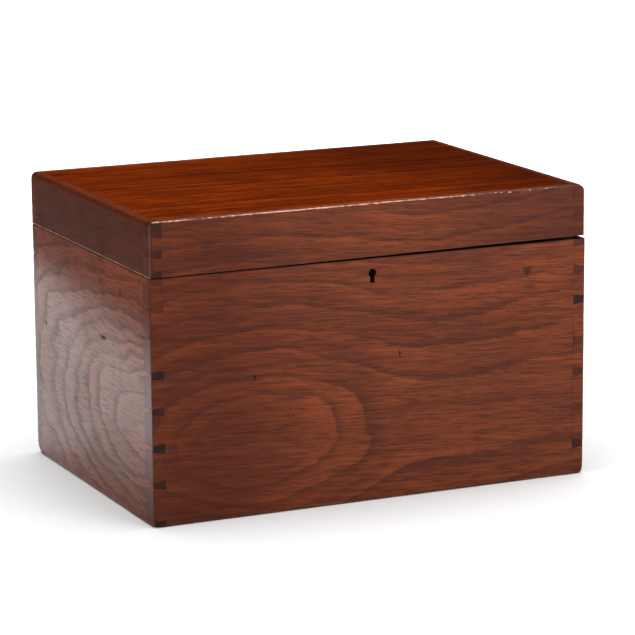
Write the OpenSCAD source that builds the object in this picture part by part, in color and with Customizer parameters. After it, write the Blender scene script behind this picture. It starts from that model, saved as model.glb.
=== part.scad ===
// Tea caddy: a dovetailed mahogany box with a hinged lid, a link-plate box lock,
// two lidded tea compartments and a central well for a mixing bowl.
// Millimetres. X runs along the front, the front faces -Y, Z is up and the box stands on z = 0.

/* [Box] */
// Width of the box across the front
box_w = 300; // [280:1:330]
// Depth of the box from front face to back face
box_d = 210; // [195:1:235]
// Height of the body, from the base to the rim
body_h = 155.5; // [150:0.5:175]
// Height of the lid above its lower edge
lid_h = 34.5; // [32:0.5:42]
// Gap between the body and the lid
seam_gap = 0.5; // [0.3:0.1:0.8]
// How much the worn lid edge has lifted at the right of the front
seam_rise = 1.5; // [0.2:0.1:2]

/* [Boards] */
// Thickness of the side boards
side_t = 8.2; // [7.5:0.1:10]
// Thickness of the front boards
front_t = 11; // [10.5:0.1:13]
// Thickness of the back boards
back_t = 8; // [8:0.1:10]
// Thickness of the bottom board
bottom_t = 7; // [6:0.5:9]
// Thickness of the top panel
top_t = 7; // [6:0.5:9]
// Width of the rim that shows around the top panel
rim_w = 6.2; // [5.5:0.1:6.5]

/* [Dovetails] */
// Width of a pin at the corner
pin_narrow = 4; // [3:0.1:5]
// Width of a pin at its root
pin_wide = 6.6; // [5.5:0.1:8]
// Height of a half pin at the corner of the body
half_pin = 3.6; // [3:0.1:4.5]

/* [Interior] */
// Width of the central well
well_w = 104; // [96:1:116]
// Thickness of the partitions
partition_t = 5; // [4:0.5:6]
// How far the inner lids lie below the rim
inner_drop = 8; // [6:0.5:12]
// Thickness of the inner lids and of the bowl board
inner_t = 5; // [4:0.5:6]
// Radius of the hole that holds the mixing bowl
bowl_r = 46; // [36:1:46]

/* [Hinges] */
// Distance of each hinge from the middle of the box
hinge_x = 92; // [60:1:105]
// Length of a hinge
hinge_l = 38; // [30:1:44]
// Radius of the hinge barrel
barrel_r = 2.5; // [2.3:0.1:2.8]
// Radius of the hinge pin
hinge_pin_r = 1.2; // [1:0.1:1.4]
// How far the hinge axis lies inside the back face
axis_inset = 1; // [0.8:0.1:1.2]
// Opening angle at which the bevelled back edges meet
stop_angle = 97; // [94:1:110]

/* [Lock] */
// Place of the keyhole along the front
lock_x = -1.2; // [-10:0.1:10]
// Depth of the lock's drill pin below the rim
lock_drop = 9.2; // [9:0.1:9.6]
// Travel of the bolt
bolt_throw = 4.5; // [4:0.1:4.8]

/* [Hidden] */
$fn = 48;

// Cuts run past the faces that they open by this much
past = 1;
// Clearance between pieces that are set into each other
fit_gap = 0.1;
// Joint line around a panel in its rebate
glue_gap = 0.05;
// Radial clearance of a hinge barrel on its pin
running_gap = 0.05;

// The hinge barrel stands proud of the back, and the whole box is centred with it
barrel_proud = barrel_r - axis_inset;
front_y = -(box_d + barrel_proud) / 2;
back_y = front_y + box_d;
left_x = -box_w / 2;
right_x = box_w / 2;
inner_front_y = front_y + front_t;
inner_back_y = back_y - back_t;
inner_left_x = left_x + side_t;
inner_right_x = right_x - side_t;

lid_z = body_h + seam_gap;
top_z = lid_z + lid_h;
// The lid has shrunk a little, and is short at the right
lid_short = 0.7;
lid_right_x = right_x - lid_short;

// Heights of the hand-spaced dovetail pins above the base, front corners first
pins_front_left = [27, 50, 73, 95.5, 119.5, 137];
pins_front_right = [20.5, 45, 68.5, 89, 116, 135.5];
pins_back_left = [22, 45.5, 69, 93.5, 116, 137];
pins_back_right = [24, 48, 71, 94, 117.5, 137];

// Rounding of the worn outer edges
corner_round = 0.8;
base_round = 1.6;
lid_side_round = 3.4;
lid_front_round = 0.9;
lid_back_round = 1.8;

// Depth of the rebate that takes the bottom board
bottom_rebate = 4;
housing_depth = 2;

axis_y = back_y - axis_inset;
axis_z = body_h + seam_gap / 2;
leaf_t = 1.5;
leaf_w = 6;
leaf_screw_y = 4.4;
knuckles = 5;
knuckle_l = hinge_l / knuckles;
hinge_screw_xs = [-13, 0, 13];

ledge_t = 4;
ledge_h = 8;
lining_t = 0.4;
baize_t = 1;
inner_top_z = body_h - inner_drop;
inner_under_z = inner_top_z - inner_t;
ledge_top_z = inner_under_z - 0.05;
tea_inner_x = well_w / 2 + partition_t;
// The right inner lid is short enough to rise inside the lid's rim
tea_lid_right_x = inner_right_x - lid_short;
middle_y = (inner_front_y + inner_back_y) / 2;

bottom_pin_r = 0.8;
bottom_pin_l = 14;
hinge_screw_r = 0.75;
hinge_screw_l = 7;
knob_stem_r = 2;

// Lock: positions are measured from the lock's middle and from the rim
lock_z = body_h;
lock_y = inner_front_y;
lock_half_w = 24.5;
lock_h = 24;
lock_depth = 7;
plate_t = 1.2;
selvedge_t = 1.5;
selvedge_half_w = 32;
selvedge_d = 8;
backplate_h = 28.5;
eye_xs = [-13, 13];
eye_t = 2.2;
eye_w = 3.8;
eye_drop = 7;
eye_hole_w = 2.4;
eye_hole_top = 3;
eye_hole_h = 2.6;
eye_y = lock_y - 3.6;
bolt_t = 4.2;
finger_t = 1.8;
finger_l = 4.5;
finger_h = 2;
finger_top = -3.3;
bolt_top = -2;
bolt_bottom = -10;
drill_pin_r = 1;
lock_screw_r = 1;
lock_screw_l = 6;
link_z = lid_z + 0.6;
link_t = 1.6;
link_half_w = 24;
link_half_d = 3.4;
keyhole_r = 2.7;
keyhole_slot_w = 3;
keyhole_slot_l = 6.3;

mahogany = [0.42, 0.20, 0.12];
dark_mahogany = [0.33, 0.15, 0.09];
brass = [0.72, 0.56, 0.26];
steel = [0.45, 0.45, 0.47];

// ---- General shapes ----

// A block between two opposite corners
module block(low, high) {
    translate(low)
        cube(high - low);
}

// An outline of the XZ plane, as a plate from y0 to y1
module plate_y(y0, y1) {
    translate([0, y1, 0])
        rotate([90, 0, 0])
            linear_extrude(y1 - y0)
                children();
}

// An outline of the YZ plane, as a plate from x0 to x1
module plate_x(x0, x1) {
    translate([x0, 0, 0])
        rotate([90, 0, 90])
            linear_extrude(x1 - x0)
                children();
}

// What a rounding of radius r takes off a square corner at the origin
module corner_waste(r) {
    difference() {
        translate([-past, -past])
            square(r + past);
        translate([r, r])
            circle(r);
    }
}

// Rectangle with radii for its lower left, lower right, upper right and upper left corners
module rounded_rect(low, high, r) {
    difference() {
        translate(low)
            square(high - low);
        translate(low)
            corner_waste(r[0]);
        translate([high[0], low[1]])
            mirror([1, 0])
                corner_waste(r[1]);
        translate(high)
            rotate(180)
                corner_waste(r[2]);
        translate([low[0], high[1]])
            mirror([0, 1])
                corner_waste(r[3]);
    }
}

// Cylinder along X through the given point of the YZ plane
module rod_x(x0, x1, y, z, r) {
    translate([x0, y, z])
        rotate([0, 90, 0])
            cylinder(r = r, h = x1 - x0);
}

// Cylinder along Y through the given point of the XZ plane
module rod_y(y0, y1, x, z, r) {
    translate([x, y1, z])
        rotate([90, 0, 0])
            cylinder(r = r, h = y1 - y0);
}

// Countersunk screw, head up at the origin: shank radius r, length l
module screw(r, l) {
    head_r = 2 * r;
    head_h = r;
    slot_w = 0.4;
    difference() {
        union() {
            translate([0, 0, -l])
                cylinder(r = r, h = l - head_h / 2);
            translate([0, 0, -head_h])
                cylinder(r1 = r, r2 = head_r, h = head_h);
        }
        block([-head_r - past, -slot_w / 2, -slot_w], [head_r + past, slot_w / 2, past]);
    }
}

// The hole that a screw fills, with its countersink
module screw_hole(r, l) {
    translate([0, 0, -l])
        cylinder(r = r, h = l + past);
    translate([0, 0, -r])
        cylinder(r1 = r, r2 = 2 * r, h = r);
    cylinder(r = 2 * r, h = past);
}

// ---- Envelopes: the outer form of the box and of the lid, with their worn edges ----

module body_envelope() {
    intersection() {
        plate_y(front_y, back_y)
            rounded_rect([left_x, 0], [right_x, body_h], [base_round, base_round, 0.3, 0.3]);
        plate_x(left_x, right_x)
            rounded_rect([front_y, 0], [back_y, body_h], [base_round, base_round, 0.3, 0.3]);
        linear_extrude(body_h)
            rounded_rect([left_x, front_y], [right_x, back_y], corner_round * [1, 1, 1, 1]);
    }
}

module lid_envelope() {
    intersection() {
        plate_y(front_y, back_y)
            rounded_rect([left_x, lid_z], [lid_right_x, top_z], [0.3, 0.3, lid_side_round, lid_side_round]);
        plate_x(left_x, lid_right_x)
            rounded_rect([front_y, lid_z], [back_y, top_z], [0.3, 0.3, lid_back_round, lid_front_round]);
        translate([0, 0, lid_z])
            linear_extrude(lid_h)
                rounded_rect([left_x, front_y], [lid_right_x, back_y], corner_round * [1, 1, 1, 1]);
    }
}

// ---- Dovetails: outlines of the pins at a corner x = 0, with the board running to +x ----

// One pin with its middle at height z, narrow at the corner and wide at its root
module pin(z) {
    narrow = pin_narrow / 2;
    wide = pin_wide / 2;
    polygon([[0, z - narrow], [side_t, z - wide], [side_t, z + wide], [0, z + narrow]]);
}

// Half pin that stands on the lower edge z
module half_pin_up(z, h) {
    flare = (pin_wide - pin_narrow) / 2;
    polygon([[0, z], [side_t, z], [side_t, z + h + flare], [0, z + h]]);
}

// Half pin that hangs from the upper edge z
module half_pin_down(z, h) {
    translate([0, z])
        mirror([0, 1])
            half_pin_up(0, h);
}

module body_pins(heights) {
    for (z = heights)
        pin(z);
    half_pin_up(0, half_pin);
    half_pin_down(body_h, half_pin);
}

// The lid's corners have a deep upper half pin, one pin and a lower half pin
module lid_pins(upper, middle, lower) {
    pin(lid_z + middle);
    half_pin_up(lid_z, lower);
    half_pin_down(top_z, upper);
}

module lid_pins_left() {
    translate([left_x, 0])
        lid_pins(9, 14.5, 3.4);
}

module lid_pins_right() {
    translate([lid_right_x, 0])
        mirror([1, 0])
            lid_pins(7, 17.5, 6.5);
}

module body_pins_left(heights) {
    translate([left_x, 0])
        body_pins(heights);
}

module body_pins_right(heights) {
    translate([right_x, 0])
        mirror([1, 0])
            body_pins(heights);
}

// ---- Cuts that several boards share ----

// Space of the bottom board in its rebate
module bottom_space() {
    block([inner_left_x - bottom_rebate, inner_front_y - bottom_rebate, -past],
          [inner_right_x + bottom_rebate, inner_back_y + bottom_rebate, bottom_t]);
}

// Space of the top panel in the rebate of the lid's rim
module panel_space() {
    block([left_x + rim_w, front_y + rim_w, top_z - top_t],
          [lid_right_x - rim_w, back_y - rim_w, top_z + past]);
}

// Bevel along the upper back edge of the body: it and the lid's bevel meet at the stop angle
module bevel_outline() {
    run = barrel_r + past;
    rise = run * tan(stop_angle / 2);
    polygon([[0, 0], [run, -rise], [run, past], [0, past]]);
}

module body_bevel() {
    plate_x(left_x - past, right_x + past)
        translate([axis_y, axis_z])
            bevel_outline();
}

module lid_bevel() {
    plate_x(left_x - past, right_x + past)
        translate([axis_y, axis_z])
            mirror([0, 1])
                bevel_outline();
}

// The worn gap under the lid grows along the front and along the right side
module lid_wear() {
    plate_y(front_y - past, inner_front_y)
        polygon([[left_x, lid_z - past], [right_x, lid_z - past],
                 [right_x, lid_z + seam_rise], [left_x, lid_z]]);
    plate_x(inner_right_x - 0.01 - lid_short, right_x + past)
        polygon([[front_y, lid_z - past], [back_y, lid_z - past],
                 [back_y, lid_z], [front_y, lid_z + seam_rise]]);
}

// Recess for a hinge's leaf and barrel in the edge of a back board; side is -1 for the body, 1 for the lid
module hinge_recess(x, side) {
    half = hinge_l / 2 + fit_gap;
    z = axis_z + side * seam_gap / 2;
    low_z = side < 0 ? z - leaf_t : z - past;
    high_z = side < 0 ? z + past : z + leaf_t;
    block([x - half, axis_y - leaf_w - fit_gap, low_z], [x + half, back_y + past, high_z]);
    rod_x(x - half, x + half, axis_y, axis_z, barrel_r + 0.3);
    block([x - half, axis_y, axis_z - barrel_r - 0.3], [x + half, back_y + past, axis_z + barrel_r + 0.3]);
}

// Places a screw, or its hole, in each hole of both hinges; side is -1 for the body, 1 for the lid
module at_hinge_screws(side) {
    for (x = [-hinge_x, hinge_x], dx = hinge_screw_xs)
        translate([x + dx, axis_y - leaf_screw_y, axis_z + side * seam_gap / 2])
            mirror([0, 0, side > 0 ? 1 : 0])
                children();
}

// Places a pin, or its hole, around the rebate of the bottom board
module at_bottom_pins() {
    edge = 2;
    x = inner_right_x + edge;
    y = [inner_front_y - edge, inner_back_y + edge];
    for (px = [-110, 0, 110], py = y)
        translate([px, py, 0])
            children();
    for (px = [-x, x], py = [-45, 45])
        translate([px, py, 0])
            children();
}

module bottom_pin_hole() {
    translate([0, 0, -past])
        cylinder(r = bottom_pin_r, h = bottom_pin_l + past);
}

// ---- Body ----

module front_board() {
    color(mahogany)
        difference() {
            intersection() {
                body_envelope();
                plate_y(front_y, inner_front_y)
                    difference() {
                        translate([left_x, 0])
                            square([box_w, body_h]);
                        body_pins_left(pins_front_left);
                        body_pins_right(pins_front_right);
                    }
            }
            bottom_space();
            at_bottom_pins()
                bottom_pin_hole();
            partition_housings();
            lock_mortise();
        }
}

module back_board() {
    color(mahogany)
        difference() {
            intersection() {
                body_envelope();
                plate_y(inner_back_y, back_y)
                    difference() {
                        translate([left_x, 0])
                            square([box_w, body_h]);
                        body_pins_left(pins_back_left);
                        body_pins_right(pins_back_right);
                    }
            }
            bottom_space();
            at_bottom_pins()
                bottom_pin_hole();
            partition_housings();
            body_bevel();
            hinge_recess(-hinge_x, -1);
            hinge_recess(hinge_x, -1);
            at_hinge_screws(-1)
                screw_hole(hinge_screw_r, hinge_screw_l);
        }
}

// A side board between the front and the back, with its pins at both ends
module side_board(x0, x1) {
    difference() {
        intersection() {
            body_envelope();
            union() {
                block([x0, inner_front_y, 0], [x1, inner_back_y, body_h]);
                plate_y(front_y, inner_front_y)
                    children(0);
                plate_y(inner_back_y, back_y)
                    children(1);
            }
        }
        bottom_space();
        at_bottom_pins()
            bottom_pin_hole();
        body_bevel();
    }
}

module left_board() {
    color(mahogany)
        side_board(left_x, inner_left_x) {
            body_pins_left(pins_front_left);
            body_pins_left(pins_back_left);
        }
}

module right_board() {
    color(mahogany)
        side_board(inner_right_x, right_x) {
            body_pins_right(pins_front_right);
            body_pins_right(pins_back_right);
        }
}

module bottom_board() {
    into_rebate = bottom_rebate - glue_gap;
    color(dark_mahogany)
        difference() {
            block([inner_left_x - into_rebate, inner_front_y - into_rebate, 0],
                  [inner_right_x + into_rebate, inner_back_y + into_rebate, bottom_t]);
            at_bottom_pins()
                bottom_pin_hole();
        }
}

// Headless pins, punched a little below the underside
module bottom_pins() {
    sunk = 0.2;
    color(steel)
        at_bottom_pins()
            translate([0, 0, sunk])
                cylinder(r = bottom_pin_r, h = bottom_pin_l - sunk);
}

// ---- Interior ----

// Shallow housings for the partitions in the inner faces of the front and the back
module partition_housings() {
    for (x = [-tea_inner_x, well_w / 2])
        block([x, inner_front_y - housing_depth, bottom_t],
              [x + partition_t, inner_back_y + housing_depth, body_h + past]);
}

module partition(x) {
    color(dark_mahogany)
        block([x, inner_front_y - housing_depth, bottom_t],
              [x + partition_t, inner_back_y + housing_depth, inner_top_z]);
}

module partition_left() {
    partition(-tea_inner_x);
}

module partition_right() {
    partition(well_w / 2);
}

// Lining of one tea compartment: a thin open box between the side board and the partition
module tea_lining(x0, x1) {
    low = [x0 + fit_gap, inner_front_y + fit_gap, bottom_t + fit_gap];
    high = [x1 - fit_gap, inner_back_y - fit_gap, ledge_top_z - ledge_h - fit_gap];
    color("dimgray")
        difference() {
            block(low, high);
            block(low + [1, 1, 1] * lining_t, high + [-lining_t, -lining_t, past]);
        }
}

module tea_lining_left() {
    tea_lining(inner_left_x, -tea_inner_x);
}

module tea_lining_right() {
    tea_lining(tea_inner_x, inner_right_x);
}

// The four strips around the top of one tea compartment that carry its lid
module ledges(x0, x1) {
    y0 = inner_front_y;
    y1 = inner_back_y;
    z0 = ledge_top_z - ledge_h;
    z1 = ledge_top_z;
    color(dark_mahogany) {
        for (y = [y0, y1 - ledge_t])
            block([x0, y, z0], [x1, y + ledge_t, z1]);
        for (x = [x0, x1 - ledge_t])
            block([x, y0 + ledge_t + fit_gap, z0], [x + ledge_t, y1 - ledge_t - fit_gap, z1]);
    }
}

module ledges_left() {
    ledges(inner_left_x, -tea_inner_x);
}

module ledges_right() {
    ledges(tea_inner_x, inner_right_x);
}

// Two strips along the sides of the well that carry the bowl board
module well_cleats() {
    color(dark_mahogany)
        for (x = [-well_w / 2, well_w / 2 - ledge_t])
            block([x, inner_front_y + fit_gap, inner_under_z - ledge_h],
                  [x + ledge_t, inner_back_y - fit_gap, inner_under_z]);
}

module bowl_board() {
    color(mahogany)
        difference() {
            block([-well_w / 2 + fit_gap, inner_front_y + fit_gap, inner_under_z],
                  [well_w / 2 - fit_gap, inner_back_y - fit_gap, inner_top_z]);
            translate([0, middle_y, inner_under_z - past])
                cylinder(r = bowl_r, h = inner_t + 2 * past, $fn = 96);
        }
}

module well_baize() {
    color("darkgreen")
        block([-well_w / 2 + fit_gap, inner_front_y + fit_gap, bottom_t],
              [well_w / 2 - fit_gap, inner_back_y - fit_gap, bottom_t + baize_t]);
}

// Loose lid of one tea compartment, with the hole of its knob
module inner_lid(x0, x1) {
    gap = 0.4;
    edge = 1.2;
    middle_x = (x0 + x1) / 2;
    color(mahogany)
        difference() {
            intersection() {
                plate_y(inner_front_y + gap, inner_back_y - gap)
                    rounded_rect([x0 + gap, inner_under_z], [x1 - gap, inner_top_z],
                                 [0.2, 0.2, edge, edge]);
                plate_x(x0, x1)
                    rounded_rect([inner_front_y + gap, inner_under_z], [inner_back_y - gap, inner_top_z],
                                 [0.2, 0.2, edge, edge]);
            }
            translate([middle_x, middle_y, inner_under_z - past])
                cylinder(r = knob_stem_r, h = inner_t + 2 * past);
        }
}

module inner_lid_left() {
    inner_lid(inner_left_x, -tea_inner_x);
}

module inner_lid_right() {
    inner_lid(tea_inner_x, tea_lid_right_x);
}

// Turned knob with a round foot, a waist, a ball and a stem that is glued through the lid
module knob(x) {
    foot_r = 5;
    foot_h = 1.6;
    waist_r = 2.6;
    ball_r = 5.2;
    ball_z = 8;
    color(brass)
        translate([x, middle_y, inner_top_z]) {
            translate([0, 0, -inner_t])
                cylinder(r = knob_stem_r - glue_gap, h = inner_t);
            cylinder(r = foot_r, h = foot_h);
            cylinder(r = waist_r, h = ball_z);
            translate([0, 0, ball_z])
                sphere(ball_r);
        }
}

module knob_left() {
    knob((inner_left_x - tea_inner_x) / 2);
}

module knob_right() {
    knob((tea_lid_right_x + tea_inner_x) / 2);
}

// ---- Lid ----

module lid_front() {
    color(mahogany)
        difference() {
            intersection() {
                lid_envelope();
                plate_y(front_y, inner_front_y)
                    difference() {
                        translate([left_x, lid_z])
                            square([lid_right_x - left_x, lid_h]);
                        lid_pins_left();
                        lid_pins_right();
                    }
            }
            panel_space();
            lid_wear();
            link_recess();
        }
}

module lid_back() {
    color(mahogany)
        difference() {
            intersection() {
                lid_envelope();
                plate_y(inner_back_y, back_y)
                    difference() {
                        translate([left_x, lid_z])
                            square([lid_right_x - left_x, lid_h]);
                        lid_pins_left();
                        lid_pins_right();
                    }
            }
            panel_space();
            lid_bevel();
            hinge_recess(-hinge_x, 1);
            hinge_recess(hinge_x, 1);
            at_hinge_screws(1)
                screw_hole(hinge_screw_r, hinge_screw_l);
        }
}

// A side of the lid, with its pins at both ends
module lid_side(x0, x1) {
    difference() {
        intersection() {
            lid_envelope();
            union() {
                block([x0, inner_front_y, lid_z], [x1, inner_back_y, top_z]);
                plate_y(front_y, inner_front_y)
                    children();
                plate_y(inner_back_y, back_y)
                    children();
            }
        }
        panel_space();
        lid_bevel();
        lid_wear();
    }
}

module lid_left() {
    color(mahogany)
        lid_side(left_x, inner_left_x)
            lid_pins_left();
}

module lid_right() {
    color(mahogany)
        lid_side(lid_right_x - side_t, lid_right_x)
            lid_pins_right();
}

module lid_panel() {
    color(mahogany)
        block([left_x + rim_w + glue_gap, front_y + rim_w + glue_gap, top_z - top_t],
              [lid_right_x - rim_w - glue_gap, back_y - rim_w - glue_gap, top_z]);
}

// Paper lining glued under the top panel, inside the rim
module lid_lining() {
    gap = 0.5;
    color("tan")
        block([inner_left_x + gap, inner_front_y + gap, top_z - top_t - baize_t],
              [lid_right_x - side_t - gap, inner_back_y - gap, top_z - top_t]);
}

// ---- Hinges ----

// One leaf with its share of the knuckles. side is -1 for the body and 1 for the lid,
// first is its first knuckle, and bore is the radius of the hole for the pin
module hinge_leaf(x, side, first, bore) {
    half = hinge_l / 2;
    side_gap = 0.08;
    plate_gap = barrel_r + 0.35;
    z_face = axis_z + side * seam_gap / 2;
    z0 = side < 0 ? z_face - leaf_t : z_face;
    color(brass)
        difference() {
            union() {
                block([x - half, axis_y - leaf_w, z0], [x + half, axis_y - plate_gap, z0 + leaf_t]);
                for (k = [first:2:knuckles - 1]) {
                    x0 = x - half + k * knuckle_l + side_gap;
                    x1 = x - half + (k + 1) * knuckle_l - side_gap;
                    block([x0, axis_y - plate_gap - past, z0], [x1, axis_y, z0 + leaf_t]);
                    rod_x(x0, x1, axis_y, axis_z, barrel_r);
                }
            }
            rod_x(x - half - past, x + half + past, axis_y, axis_z, bore);
            at_hinge_screws(side)
                screw_hole(hinge_screw_r, hinge_screw_l);
        }
}

module hinge_body_leaf_left() {
    hinge_leaf(-hinge_x, -1, 0, hinge_pin_r);
}

module hinge_body_leaf_right() {
    hinge_leaf(hinge_x, -1, 0, hinge_pin_r);
}

module hinge_lid_leaf_left() {
    hinge_leaf(-hinge_x, 1, 1, hinge_pin_r + running_gap);
}

module hinge_lid_leaf_right() {
    hinge_leaf(hinge_x, 1, 1, hinge_pin_r + running_gap);
}

module hinge_pin(x) {
    color(steel)
        rod_x(x - hinge_l / 2, x + hinge_l / 2, axis_y, axis_z, hinge_pin_r);
}

module hinge_pin_left() {
    hinge_pin(-hinge_x);
}

module hinge_pin_right() {
    hinge_pin(hinge_x);
}

module hinge_screws_body() {
    color(brass)
        at_hinge_screws(-1)
            screw(hinge_screw_r, hinge_screw_l);
}

module hinge_screws_lid() {
    color(brass)
        at_hinge_screws(1)
            screw(hinge_screw_r, hinge_screw_l);
}

// ---- Lock ----

// Moves the children to the lock's own place: x from its middle, y from the inner face, z from the rim
module at_lock() {
    translate([lock_x, lock_y, lock_z])
        children();
}

// Outline of the keyhole around the drill pin
module keyhole_outline() {
    translate([0, -lock_drop])
        circle(keyhole_r);
    translate([-keyhole_slot_w / 2, -lock_drop - keyhole_slot_l])
        square([keyhole_slot_w, keyhole_slot_l]);
}

// Places a screw, or its hole, in the plate's two lower corners and in the selvedge's two ends
module at_lock_screws() {
    at_lock() {
        for (x = [-21, 21])
            translate([x, 0, -lock_h - 2.3])
                rotate([-90, 0, 0])
                    children();
        for (x = [-28.5, 28.5])
            translate([x, -selvedge_d / 2, 0])
                children();
    }
}

// What the lock takes out of the front board
module lock_mortise() {
    at_lock() {
        block([-lock_half_w - fit_gap, -lock_depth - fit_gap, -lock_h - fit_gap],
              [lock_half_w + fit_gap, past, past]);
        block([-lock_half_w - fit_gap, -plate_t, -backplate_h - fit_gap],
              [lock_half_w + fit_gap, past, past]);
        block([-selvedge_half_w - fit_gap, -selvedge_d - fit_gap, -selvedge_t],
              [selvedge_half_w + fit_gap, past, past]);
        plate_y(-front_t - past, 0)
            keyhole_outline();
    }
    at_lock_screws()
        screw_hole(lock_screw_r, lock_screw_l);
}

// Back plate, selvedge, side walls, floor and the rest for the bolt, cast in one piece
module lock_case() {
    wall = 1.2;
    cap_y = -lock_depth + plate_t;
    slot = 0.4;
    rest_x = 15;
    rest_h = 2;
    color(brass)
        difference() {
            at_lock()
                difference() {
                    union() {
                        block([-lock_half_w, -plate_t, -backplate_h], [lock_half_w, 0, 0]);
                        block([-selvedge_half_w, -selvedge_d, -selvedge_t], [selvedge_half_w, 0, 0]);
                        for (x = [-lock_half_w, lock_half_w - wall])
                            block([x, cap_y, -lock_h], [x + wall, -plate_t / 2, -selvedge_t / 2]);
                        block([-lock_half_w, cap_y, -lock_h], [lock_half_w, -plate_t / 2, -lock_h + wall]);
                        block([-lock_half_w + wall / 2, cap_y, bolt_bottom - rest_h],
                              [-rest_x, -plate_t / 2, bolt_bottom - fit_gap]);
                    }
                    for (x = eye_xs)
                        block([x - eye_t / 2 - slot, eye_y - lock_y - eye_w / 2 - slot, -selvedge_t - past],
                              [x + eye_t / 2 + slot, eye_y - lock_y + eye_w / 2 + slot, past]);
                    plate_y(-plate_t - past, past)
                        translate([0, -lock_drop])
                            circle(drill_pin_r);
                }
            at_lock_screws()
                screw_hole(lock_screw_r, lock_screw_l);
        }
}

// Cover plate of the lock, with its own keyhole
module lock_cap() {
    color(brass)
        at_lock()
            plate_y(-lock_depth, -lock_depth + plate_t)
                difference() {
                    translate([-lock_half_w, -lock_h])
                        square([2 * lock_half_w, lock_h - selvedge_t]);
                    keyhole_outline();
                }
}

// Outline of the bolt around its two fingers, in the unlocked place
module bolt_outline() {
    // The key turns in this opening and pushes the sides of the narrow talon above it
    key_space = 2.6;
    talon = [-3.8, -0.4];
    talon_top = -3.6;
    difference() {
        translate([-21, bolt_bottom])
            square([38.4, bolt_top - bolt_bottom]);
        for (e = eye_xs)
            translate([e - finger_l - 1.4, -eye_drop - 0.3])
                square([finger_l + 2.8, eye_drop + 0.3]);
        translate([-bolt_throw - key_space, bolt_bottom - past])
            square([bolt_throw + 2 * key_space, past - bolt_bottom - 6.5]);
        translate([talon[0], bolt_bottom - past])
            square([talon[1] - talon[0], talon_top - bolt_bottom + past]);
    }
}

// Bolt with two fingers that slide through the eyes of the link plate
module lock_bolt() {
    color(brass)
        translate([lock_x, eye_y, lock_z]) {
            plate_y(-bolt_t / 2, bolt_t / 2)
                bolt_outline();
            for (e = eye_xs)
                block([e - finger_l - 1.4 - past, -finger_t / 2, finger_top - finger_h],
                      [e - eye_t / 2 - 0.4, finger_t / 2, finger_top]);
        }
}

// Hairpin spring that presses on the bolt's tail from below and keeps it where the key leaves it
module lock_spring() {
    strip = 0.6;
    bend_r = 4.6;
    bend_x = 17.5;
    foot_z = -lock_h + 1.2;
    bend_z = foot_z + bend_r;
    arm_l = 9.5;
    arm_angle = 22;
    color(steel)
        translate([lock_x, eye_y, lock_z])
            plate_y(-1.5, 1.5) {
                translate([bend_x - 10, foot_z])
                    square([10, strip]);
                intersection() {
                    translate([bend_x, bend_z])
                        difference() {
                            circle(bend_r);
                            circle(bend_r - strip);
                        }
                    translate([bend_x, foot_z - past])
                        square([bend_r + past, 2 * bend_r + 2 * past]);
                }
                translate([bend_x, bend_z + bend_r - strip])
                    rotate(180 - arm_angle)
                        translate([0, -strip])
                            square([arm_l, strip]);
            }
}

// Fixed pin that the hollow key turns on
module lock_drill_pin() {
    color(steel)
        at_lock()
            rod_y(-front_t + 3, 0, 0, -lock_drop, drill_pin_r);
}

module lock_screws() {
    color(brass)
        at_lock_screws()
            screw(lock_screw_r, lock_screw_l);
}

// Recess for the link plate in the lid's lower front edge
module link_recess() {
    translate([lock_x, eye_y, link_z])
        block([-link_half_w - fit_gap, -link_half_d - fit_gap, -2 * past],
              [link_half_w + fit_gap, link_half_d + fit_gap, link_t]);
    at_link_screws()
        screw_hole(hinge_screw_r, hinge_screw_l);
}

module at_link_screws() {
    for (x = [-19.5, 0, 19.5])
        translate([lock_x + x, eye_y, link_z])
            mirror([0, 0, 1])
                children();
}

// Plate in the lid with two eyes that drop into the lock
module link_plate() {
    color(brass)
        difference() {
            translate([lock_x, eye_y, 0])
                union() {
                    block([-link_half_w, -link_half_d, link_z],
                          [link_half_w, link_half_d, link_z + link_t]);
                    for (x = eye_xs)
                        difference() {
                            block([x - eye_t / 2, -eye_w / 2, body_h - eye_drop],
                                  [x + eye_t / 2, eye_w / 2, link_z + link_t / 2]);
                            block([x - eye_t, -eye_hole_w / 2, body_h - eye_hole_top - eye_hole_h],
                                  [x + eye_t, eye_hole_w / 2, body_h - eye_hole_top]);
                        }
                }
            at_link_screws()
                screw_hole(hinge_screw_r, hinge_screw_l);
        }
}

module link_screws() {
    color(brass)
        at_link_screws()
            screw(hinge_screw_r, hinge_screw_l);
}

front_board();
back_board();
left_board();
right_board();
bottom_board();
bottom_pins();
partition_left();
partition_right();
tea_lining_left();
tea_lining_right();
ledges_left();
ledges_right();
well_cleats();
bowl_board();
well_baize();
inner_lid_left();
inner_lid_right();
knob_left();
knob_right();
lid_front();
lid_back();
lid_left();
lid_right();
lid_panel();
lid_lining();
hinge_body_leaf_left();
hinge_body_leaf_right();
hinge_lid_leaf_left();
hinge_lid_leaf_right();
hinge_pin_left();
hinge_pin_right();
hinge_screws_body();
hinge_screws_lid();
lock_case();
lock_cap();
lock_bolt();
lock_spring();
lock_drill_pin();
lock_screws();
link_plate();
link_screws();
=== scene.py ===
import math

import bmesh
import bpy
from mathutils import Matrix, Vector, noise


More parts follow.
